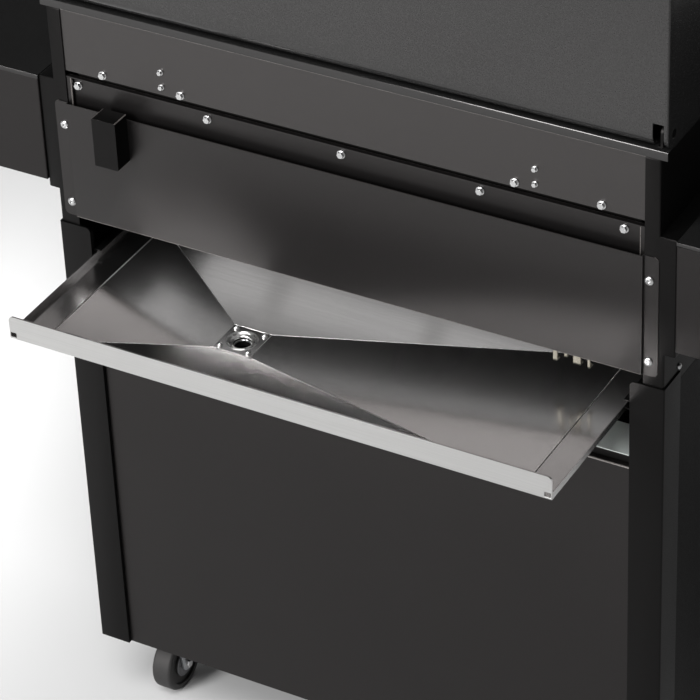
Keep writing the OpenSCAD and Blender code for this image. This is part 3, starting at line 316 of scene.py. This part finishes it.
# The fold's and the cut edge's radius of each node, in mm
EDGES = {node: (1.2, 0.2) for node in NODES} | {
    "rear_cover": (1.6, 1.2), "rear_strip": (1.2, 0.8), "junction_cover": (2.0, 0.2),
    "grease_tray": (0.8, 0.25), "lid": (2.0, 0.3), "base_shelf": (2.0, 0.3),
    "leg_rear_left": (2.0, 0.3), "leg_rear_right": (2.0, 0.3), "leg_front_left": (2.0, 0.3),
    "leg_front_right": (2.0, 0.3), "upper_side_left": (2.0, 0.3), "upper_side_right": (2.0, 0.3),
    "shelf_frame_left": (1.5, 0.3), "shelf_frame_right": (1.5, 0.3), "back_panel": (1.5, 0.25),
}
forms = {node: eased(node, fold / 1000, cut / 1000, node in CRISP) for node, (fold, cut) in EDGES.items()}


# Finishes of some pieces and faces

def refinish(node, material, chosen):
    """Gives a second material to the faces of a node's form that are chosen by face, mesh and the node's box."""
    mesh = forms[node].data
    lo, hi = (Vector(c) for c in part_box(node))
    mesh.materials.append(material)
    for face in mesh.polygons:
        face.material_index = int(chosen(face, mesh, lo, hi))


EDGE_WIDTH = 0.0012  # the widest face that a broken edge leaves
LIP_DEPTH = 0.0004   # of the lip's outer face and its rounded edges
CUP_RIM = 0.004      # the height of the cup's rim


def broken_edge(face, mesh, lo, hi):
    """Whether a face is the narrow, slanted one of a sheet's broken edge, which takes a lighter paint: a painted
    highlight along the edge.
    """
    lengths = [(mesh.vertices[a].co - mesh.vertices[b].co).length for a, b in face.edge_keys]
    slanted = sum(abs(c) > 0.15 for c in face.normal) > 1
    return slanted and face.area / max(lengths) < EDGE_WIDTH


# Faces inside the grease cup, which take the dark enamel as painted shade
def inside_cup(face, mesh, lo, hi):
    inward = ((lo + hi) / 2 - face.center) * Vector((1, 1, 0))
    bottom = face.normal.z > 0.5 and face.center.z < hi.z - CUP_RIM
    return bottom or abs(face.normal.z) < 0.2 and face.normal.dot(inward) > 0


def on_lip(face, mesh, lo, hi):
    return face.center.y > hi.y - LIP_DEPTH and face.normal.y > 0.5


def below_rim(face, mesh, lo, hi):
    return face.center.z < RIM_Z


# A dark matt enamel: the firebox's own inside below its rim, and painted shade inside the grease cup and the
# drain's throat
matt_enamel_and_shade = paint("matt_enamel_and_painted_shade", (0.004, 0.0038, 0.0036), 0.62, 0.3, 0, 0.12)
wall_paint = paint("wall_paint", (0.0050, 0.0045, 0.0044), 0.36, 0.30, 0, 0.62)
# A darker, duller paint for the cart's side panels: painted shade, as they stand in shadow
side_shade_paint = paint("side_shade_paint", (0.0010, 0.0010, 0.0010), 0.42, 0.25, 0, 0.05)
shield_skin = metal("shield_skin", (0.80, 0.86, 0.83), 0.42, (200, 200, 200), 0.1, metallic=0.35)
# The broken edges of these pieces take the lighter paint: a painted highlight
for node in ("rear_cover", "rear_strip", "rear_wall", "junction_cover", "back_panel"):
    refinish(node, EDGE_HIGHLIGHT, broken_edge)
forms["rear_wall"].data.materials[0] = wall_paint
# The side panels take the darker paint: painted shade
for side in ("left", "right"):
    forms["side_panel_" + side].data.materials[0] = side_shade_paint
forms["heat_shield"].data.materials[0] = shield_skin
# Painted shade inside the grease cup
refinish("grease_cup", matt_enamel_and_shade, inside_cup)
refinish("grease_tray", LIP, on_lip)
refinish("firebox", matt_enamel_and_shade, below_rim)


# Pieces in mesh code

class Shape:
    """A mesh put together from spun, drawn and cut forms, in metres."""

    def __init__(self):
        self.bm = bmesh.new()

    def skin(self, rings, closed):
        """Faces between rings of points. A ring may be a single point."""
        for a, b in zip(rings, rings[1:] + rings[:1] if closed else rings[1:]):
            count = max(len(a), len(b))
            for i in range(count):
                j = (i + 1) % count
                corners = [a[i % len(a)], a[j % len(a)], b[j % len(b)], b[i % len(b)]]
                corners = list(dict.fromkeys(corners))
                if len(corners) > 2:
                    self.bm.faces.new(corners)

    def spin(self, profile, place, axis=(0, 0, 1), steps=48, closed=False):
        """Turns a profile of radius and height about an axis; a closed profile ends where it starts."""
        turn = Vector(axis).to_track_quat("Z", "Y").to_matrix()
        rings = []
        for radius, height in profile:
            if radius < 1e-7:
                rings.append([self.bm.verts.new(Vector(place) + turn @ Vector((0, 0, height)))])
                continue
            angles = [2 * math.pi * i / steps for i in range(steps)]
            rings.append([self.bm.verts.new(Vector(place) + turn @ Vector(
                (radius * math.cos(t), radius * math.sin(t), height))) for t in angles])
        self.skin(rings, closed)
        return self

    def draw(self, points, radius, sides=8, closed=False):
        """A rod of a radius along points."""
        points = [Vector(p) for p in points]
        rings = []
        for i, p in enumerate(points):
            before = points[i - 1] if i or closed else p
            after = points[(i + 1) % len(points)] if i + 1 < len(points) or closed else p
            turn = (after - before).to_track_quat("Z", "Y").to_matrix()
            angles = [2 * math.pi * (k + 0.5) / sides for k in range(sides)]
            rings.append([self.bm.verts.new(p + turn @ Vector((radius * math.cos(t), radius * math.sin(t), 0)))
                          for t in angles])
        self.skin(rings, closed)
        if not closed:
            self.bm.faces.new(rings[0])
            self.bm.faces.new(rings[-1])
        return self

    def slab(self, outline, place, across, up, thick):
        """An outline of across and up, drawn out along their normal."""
        across, up, place = Vector(across), Vector(up), Vector(place)
        out = across.cross(up)
        rings = [[self.bm.verts.new(place + across * u + up * v + out * h) for u, v in outline]
                 for h in (0, thick)]
        self.skin(rings, False)
        self.bm.faces.new(rings[0])
        self.bm.faces.new(rings[1])
        return self

    def done(self, name, body, slot, material=None, bevel=0.0, smooth=40):
        """Makes the piece, with its edges broken by the bevel."""
        bm = self.bm
        bmesh.ops.recalc_face_normals(bm, faces=bm.faces)
        if bevel:
            sharp = [e for e in bm.edges if len(e.link_faces) == 2 and e.calc_face_angle(0) > math.radians(smooth)]
            bmesh.ops.bevel(bm, geom=sharp, offset=bevel, segments=2, profile=0.5,
                            affect="EDGES", clamp_overlap=True)
        for face in bm.faces:
            face.smooth = True
        for edge in bm.edges:
            edge.smooth = len(edge.link_faces) == 2 and edge.calc_face_angle(0) < math.radians(smooth)
        mesh = bpy.data.meshes.new(name)
        bm.to_mesh(mesh)
        bm.free()
        return link(name, mesh, body, slot, material)


def arc(radius, start, end, steps):
    """Points on an arc, by degrees clockwise from the top, as across and up."""
    angles = [math.radians(start + (end - start) * i / steps) for i in range(steps + 1)]
    return [(radius * math.sin(t), radius * math.cos(t)) for t in angles]


def box_outline(x0, z0, x1, z1):
    return [(x0, z0), (x1, z0), (x1, z1), (x0, z1)]


FRONT = dict(across=(1, 0, 0), up=(0, 0, 1))  # a face that looks to the front: slabs grow towards -Y


def write(name, text, size, place, body, slot, material):
    """Raised figures on a face that looks to the front, centred on a place."""
    curve = bpy.data.curves.new(name, "FONT")
    curve.body = text
    curve.size = size
    curve.extrude = 0.00006
    curve.align_x, curve.align_y = "CENTER", "CENTER"
    obj = bpy.data.objects.new(name, curve)
    bpy.context.scene.collection.objects.link(obj)
    bpy.context.view_layer.update()
    mesh = bpy.data.meshes.new_from_object(obj.evaluated_get(bpy.context.evaluated_depsgraph_get()))
    bpy.data.objects.remove(obj)
    mesh.transform(Matrix.Translation(place) @ Matrix.Rotation(math.pi / 2, 4, "X"))
    bm = bmesh.new()
    bm.from_mesh(mesh)
    bmesh.ops.remove_doubles(bm, verts=bm.verts, dist=1e-7)
    bm.to_mesh(mesh)
    bm.free()
    link(name, mesh, body, slot, material)


# Drain

PLATE = 0.024      # half the drain plate's width
STUD_FOOT = 0.0035  # the studs' radius


def drain():
    """The rolled ring of the drain, its throat in dark enamel as painted shade inside the hole, and the round
    heads of the four studs.
    """
    lo, hi = (Vector(c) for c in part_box("drain_studs"))
    hub = Vector(((lo.x + hi.x) / 2, (lo.y + hi.y) / 2, lo.z))
    ring = Shape().spin([
        (0.0182, 0.0), (0.0183, 0.0005), (0.0178, 0.0009), (0.0168, 0.0009), (0.0156, 0.0002), (0.0146, -0.0008),
        (0.0136, -0.0013), (0.0126, -0.0015), (0.0118, -0.0018), (0.0111, -0.0026), (0.0107, -0.0038),
        (0.0105, -0.0060), (0.0105, -0.0138), (0.0112, -0.0138), (0.0112, -0.0056), (0.0115, -0.0038),
        (0.0121, -0.0027), (0.0130, -0.0022), (0.0140, -0.0019), (0.0152, -0.0009), (0.0168, 0.0)],
        hub, steps=72, closed=True)
    ring = ring.done("drain_ring", "tray", "drain_steel")
    throat = Shape().spin([(0.01055, -0.0042), (0.0103, -0.0042), (0.0101, -0.0139), (0.0106, -0.0141)],
                          hub, steps=72, closed=True)
    throat.done("drain_throat", "tray", "drain_steel", matt_enamel_and_shade)
    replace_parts(ring, "drain_funnel")
    studs = Shape()
    pitch = (hi.x - lo.x) / 2 - STUD_FOOT
    for x in (-pitch, pitch):
        for y in (-pitch, pitch):
            studs.spin([(0, -0.0001), (0.0034, -0.0001), (STUD_FOOT, 0.0008), (0.0033, 0.0018), (0.0027, 0.0027),
                        (0.0017, 0.0033), (0, 0.0036)], hub + Vector((x, y, 0)), steps=24)
    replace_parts(studs.done("studs", "tray", "drain_steel", POLISHED), "drain_studs")


CREASES = ((-0.294, 0.098), (0.294, 0.098), (0.294, 0.350), (-0.294, 0.350))  # the funnel's rectangle
CREASE_Z, PLATE_Z = 0.664, 0.638


def creases():
    """Beads of bright steel along the tray's folds, a painted highlight for the light line each fold catches: the
    funnel's rectangle and the lines from its corners to the plate.
    """
    lo, hi = (Vector(c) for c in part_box("drain_studs"))
    x, y = (lo.x + hi.x) / 2, (lo.y + hi.y) / 2
    outer = [(u, v, CREASE_Z) for u, v in CREASES]
    inner = [(x + u, y + v, PLATE_Z) for u, v in box_outline(-PLATE, -PLATE, PLATE, PLATE)]
    beads = Shape()
    for i in range(4):
        j = (i + 1) % 4
        beads.draw([outer[i], outer[j]], 0.0007, 6)
        beads.draw([outer[i], inner[i]], 0.0003, 6)
        beads.draw([inner[i], inner[j]], 0.00035, 6)
    beads.done("tray_creases", "tray", "tray_steel", FOLD_HIGHLIGHT)


# The middle, half width and lower end of each clip along the firebox's rear edge
TABS = (
    (-0.2420, 0.0025, 0.6925), (-0.2545, 0.0018, 0.7003), (-0.2675, 0.0043, 0.6950), (-0.2815, 0.0015, 0.6945),
)
TAB_Y, TAB_TOP, TAB_SHEET, TAB_FOOT = 0.1763, 0.7450, 0.0022, 0.007


def clips():
    """The cream clips under the firebox's rear edge, just inside the cover."""
    holders = Shape()
    for x, half, low in TABS:
        for top, deep in ((TAB_TOP, TAB_SHEET), (low + TAB_SHEET, TAB_FOOT)):
            holders.slab(box_outline(x - half, low, x + half, top), (0, TAB_Y, 0), **FRONT, thick=deep)
    holders.done("rear_clips", "cart", "burner_steel", CERAMIC, 0.0004)


drain()
creases()
clips()


# Controls

INK = 0.00012  # how far a print stands out


def knob_marks():
    """A pointer and a trim ring on each knob, and the scale round it."""
    panel_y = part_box("control_panel")[0][1]
    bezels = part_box("control_bezels")
    for side, body in (("left", "knob_left"), ("middle", "knob_middle"), ("right", "knob_right")):
        lo, hi = (Vector(c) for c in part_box(body))
        x, z = (lo.x + hi.x) / 2, (lo.z + hi.z) / 2
        radius = (hi.x - lo.x) / 2
        mark = Shape().slab(box_outline(-0.0008, 0.0035, 0.0008, radius - 0.0035), (x, lo.y, z), **FRONT,
                            thick=0.00002)
        mark.done(body + "_mark", body, "knob_plastic", PRINT)
        trim = Shape().spin([(radius + 0.0002, 0), (radius + 0.0011, 0.0004), (radius + 0.0011, 0.0022),
                             (radius + 0.0002, 0.0026), (radius - 0.0008, 0.0022), (radius - 0.0008, 0.0004)],
                            (x, hi.y, z), (0, -1, 0), 64, True)
        trim.done(body + "_trim", body, "knob_plastic", POLISHED)
        out = (bezels[1][2] - bezels[0][2]) / 2
        # High to low as a band that grows thinner, a dot for off, and ticks
        band = Shape()
        rim = arc(out + 0.0045, 25, 180, 40)
        wider = [1 + 0.10 * (1 - i / 44) for i in range(len(rim))]
        edge = [(u * w, v * w) for (u, v), w in zip(rim, wider)]
        band.slab(rim + edge[::-1], (x, panel_y, z), **FRONT, thick=INK)
        band.slab(arc(0.0013, 0, 345, 23), (x, panel_y, z + out + 0.0065), **FRONT, thick=INK)
        for turn in (25, 102, 180):
            u, v = arc(1, turn, turn, 1)[0]
            band.slab(box_outline(-0.0004, out + 0.0095, 0.0004, out + 0.0130), (x, panel_y, z),
                      (v, 0, -u), (u, 0, v), INK)
        band.done(body + "_scale", "cart", "lid_paint", PRINT)


def spoke(degrees):
    """The way out and the way across at an angle clockwise from the top of a dial that looks to the front."""
    t = math.radians(degrees)
    return Vector((math.sin(t), 0, math.cos(t))), Vector((math.cos(t), 0, -math.sin(t)))


DIAL_START = -135  # degrees clockwise from the top, of the lowest number
FIGURES = (50, 100, 150, 200, 250, 300, 350)


def thermometer():
    """The dial's face, its three bands, ticks and numbers, and its needle."""
    lo, hi = (Vector(c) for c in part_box("thermometer"))
    x, z = (lo.x + hi.x) / 2, (lo.z + hi.z) / 2
    radius = (hi.x - lo.x) / 2 - 0.004
    y = lo.y + 0.002
    face = Shape().spin([(0, 0.0), (radius + 0.0002, 0.0), (radius + 0.0002, 0.0002), (0, 0.0002)],
                        (x, y, z), (0, -1, 0), 64)
    face.done("dial_face", "lid", "dial_metal", paint("dial_face", (0.72, 0.72, 0.70), 0.5, 0.05))
    on_face = (x, y - 0.0002, z)
    bands = (("low", -135, -45, PRINT), ("mid", -45, 45, DARK_PRINT), ("hot", 45, 135, RED_PRINT))
    for name, start, end, ink in bands:
        outline = arc(radius * 0.97, start, end, 24) + arc(radius * 0.90, end, start, 24)
        Shape().slab(outline, on_face, **FRONT, thick=0.00008).done("dial_band_" + name, "lid", "dial_metal", ink)
    ticks = Shape()
    for i in range(28):
        out, across = spoke(DIAL_START + 10 * i)
        low = 0.80 if i % 3 else 0.74
        ticks.slab(box_outline(-0.0002, radius * low, 0.0002, radius * 0.88), on_face, across, out, 0.00009)
    ticks.done("dial_ticks", "lid", "dial_metal", DARK_PRINT)
    for i, value in enumerate(FIGURES):
        out, across = spoke(DIAL_START + 45 * i)
        spot = Vector((x, y - 0.0003, z)) + out * radius * 0.60
        write(f"dial_{value}", str(value), 0.0052, spot, "lid", "dial_metal", DARK_PRINT)
    out, across = spoke(-118)
    needle = Shape().slab([(-0.0009, -0.005), (0.0009, -0.005), (0.0005, radius * 0.6), (0, radius * 0.8),
                           (-0.0005, radius * 0.6)], (x, y - 0.0006, z), across, out, 0.0003)
    needle.spin([(0, 0.0006), (0.0026, 0.0006), (0.0026, 0.0011), (0.0018, 0.0014), (0, 0.0015)],
                (x, y, z), (0, -1, 0), 32)
    needle.done("dial_needle", "lid", "dial_metal", RED_PRINT)


def ends():
    """Caps on the ends of the handles, and washers under their posts."""
    lo, hi = (Vector(c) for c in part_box("lid_handle"))
    radius = (hi.z - lo.z) / 2
    y, z = lo.y + radius, (lo.z + hi.z) / 2
    caps = Shape()
    for x, way in ((lo.x, 1), (hi.x, -1)):
        caps.spin([(0, -0.0002), (radius + 0.0002, -0.0002), (radius + 0.0010, 0.0006), (radius + 0.0010, 0.0075),
                   (radius + 0.0001, 0.0083)], (x, y, z), (way, 0, 0), 48)
        for groove in (0.0105, 0.0135):
            caps.spin([(radius - 0.0004, groove - 0.0007), (radius + 0.0006, groove - 0.0004),
                       (radius + 0.0006, groove + 0.0004), (radius - 0.0004, groove + 0.0007)],
                      (x, y, z), (way, 0, 0), 48, True)
    caps.done("lid_handle_caps", "lid", "handle_steel", POLISHED)
    for side in ("left", "right"):
        lo, hi = (Vector(c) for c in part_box("door_handle_" + side))
        r = (hi.x - lo.x) / 2
        x, y = (lo.x + hi.x) / 2, lo.y + r
        caps = Shape()
        for z, way in ((lo.z, 1), (hi.z, -1)):
            caps.spin([(0, -0.0002), (r + 0.0001, -0.0002), (r + 0.0008, 0.0005), (r + 0.0008, 0.0055),
                       (r + 0.0001, 0.0062)], (x, y, z), (0, 0, way), 40)
        height = hi.z - lo.z
        for z in (lo.z + 0.12 * height, hi.z - 0.12 * height):
            caps.spin([(r * 0.6, 0), (r * 1.15, 0), (r * 1.15, 0.0012), (r * 1.0, 0.0018), (r * 0.6, 0.0018)],
                      (x, hi.y, z), (0, -1, 0), 32, True)
        caps.done(f"door_handle_{side}_caps", "door_" + side, "handle_steel", POLISHED)


def wheels():
    """Hubs with five bosses, two fine beads round each tread, and the axles' washers and nuts."""
    for side in ("left", "right"):
        for end in ("front", "rear"):
            body = f"wheel_{side}_{end}"
            lo, hi = (Vector(c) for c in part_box(body))
            mid = (lo + hi) / 2
            half = (hi.x - lo.x) / 2
            hub = Shape()
            for way in (-1, 1):
                face = mid + Vector((way * half, 0, 0))
                hub.spin([(0.0052, -0.002), (0.0052, 0.0008), (0.0080, 0.0008), (0.0088, 0.0002), (0.0150, 0.0002),
                          (0.0160, 0.0007), (0.0180, 0.0007), (0.0184, 0.0), (0.0184, -0.002)],
                         face, (way, 0, 0), 48, True)
                for i in range(5):
                    t = 2 * math.pi * i / 5
                    spot = face + Vector((0, 0.0119 * math.cos(t), 0.0119 * math.sin(t)))
                    hub.spin([(0, 0.0009), (0.0016, 0.0009), (0.0020, 0.0002), (0.0020, -0.001), (0, -0.001)],
                             spot, (way, 0, 0), 16)
            hub.done(body + "_hub", body, "wheel_rubber", HUB)
            tread = Shape()
            for x in (-0.004, 0.004):
                tread.spin([(0.0372, -0.0005), (0.0375, -0.0003), (0.0375, 0.0003), (0.0372, 0.0005)],
                           mid + Vector((x, 0, 0)), (1, 0, 0), 72, True)
            tread.done(body + "_tread", body, "wheel_rubber")
            carrier = f"fork_{end}" if side == "left" else "cart"
            nuts = Shape()
            for way in (-1, 1):
                place = mid + Vector((way * (half + 0.004), 0, 0))
                nuts.spin([(0, 0), (0.0064, 0), (0.0064, 0.0004), (0.0058, 0.0006), (0, 0.0006)],
                          place, (way, 0, 0), 32)
                nuts.spin([(0, 0.0006), (0.0052, 0.0006), (0.0056, 0.0010), (0.0056, 0.0034), (0.0048, 0.0040),
                           (0, 0.0040)], place, (way, 0, 0), 6)
            nuts.done(body + "_nuts", carrier, "caster_zinc", MATERIALS["fastener_steel"], smooth=25)


knob_marks()
thermometer()
ends()
wheels()


# Floor and light

REACH = 60  # of the floor, in metres


def floor():
    mesh = bpy.data.meshes.new("floor")
    corners = [(x * REACH, y * REACH, 0) for x, y in ((-1, -1), (1, -1), (1, 1), (-1, 1))]
    mesh.from_pydata(corners, [], [(0, 1, 2, 3)])
    obj = bpy.data.objects.new("floor", mesh)
    bpy.context.scene.collection.objects.link(obj)
    n = Nodes("floor")
    n.set(Base_Color=(0.5, 0.5, 0.5), Roughness=0.8, Specular_IOR_Level=0.1)
    mesh.materials.append(n.material)


def softbox(name, place, aim, size, radiance, spread=180):
    """A rectangular light that the camera doesn't see.

    Given are where it stands, what it faces, its width and height in metres, and how bright its face is.
    """
    data = bpy.data.lights.new(name, "AREA")
    data.shape = "RECTANGLE"
    data.size, data.size_y = size
    data.spread = math.radians(spread)
    data.energy = radiance * size[0] * size[1] * math.pi
    obj = bpy.data.objects.new(name, data)
    obj.location = place
    obj.rotation_euler = (Vector(aim) - Vector(place)).to_track_quat("-Z", "Y").to_euler()
    obj.visible_camera = False
    bpy.context.scene.collection.objects.link(obj)


def sun(name, turn, width, strength):
    """A far and very soft light, turned by degrees about X and then Z from straight down."""
    data = bpy.data.lights.new(name, "SUN")
    data.angle = math.radians(width)
    data.energy = strength
    obj = bpy.data.objects.new(name, data)
    obj.rotation_euler = (math.radians(turn[0]), 0, math.radians(turn[1]))
    bpy.context.scene.collection.objects.link(obj)


def sky():
    """A studio's surroundings: pale from the floor up to eye level, and dark above."""
    world = bpy.data.worlds.new("studio")
    bpy.context.scene.world = world
    world.use_nodes = True
    tree = world.node_tree
    height = tree.nodes.new("ShaderNodeSeparateXYZ")
    tree.links.new(tree.nodes.new("ShaderNodeTexCoord").outputs["Generated"], height.inputs[0])
    fade = tree.nodes.new("ShaderNodeMapRange")
    fade.interpolation_type = "SMOOTHSTEP"
    tree.links.new(height.outputs["Z"], fade.inputs["Value"])
    for key, value in (("From Min", 0.05), ("From Max", 0.4), ("To Min", 0.7), ("To Max", 0.04)):
        fade.inputs[key].default_value = value
    tree.links.new(fade.outputs[0], tree.nodes["Background"].inputs[0])


def studio():
    """The photo's light: a bright ground behind, soft boxes behind the grill, and lamps inside the firebox for
    the light that falls through its grates."""
    sky()
    bpy.context.scene.view_settings.view_transform = "Standard"
    sun("overhead", (-28, 10), 30, 2.4)
    softbox("key", (1.622, 3.677, 2.408), (0, 0.2, 0.7), (1.2, 2.0), 26)
    softbox("low", (1.765, 3.986, 1.139), (0, 0.2, 0.7), (1.2, 1.2), 11)
    softbox("backdrop", (1.9, -1.7, 3.4), (1.9, -1.7, 0), (1.9, 2.6), 0.5, 60)
    softbox("backdrop_low", (0.95, 0.0, 0.45), (0.95, 0.0, 0), (0.5, 1.2), 1.7, 120)
    softbox("inside", (0.0, 0.09, 0.80), (0.0, 0.09, 0), (0.6, 0.1), 0.30)
    softbox("inside_rear", (0.11, 0.068, 0.84), (0.11, 0.068, 0), (0.5, 0.045), 0.2)
    softbox("inside_bar", (0.285, 0.05, 0.84), (0.285, 0.05, 0), (0.03, 0.1), 0.12)


floor()
studio()
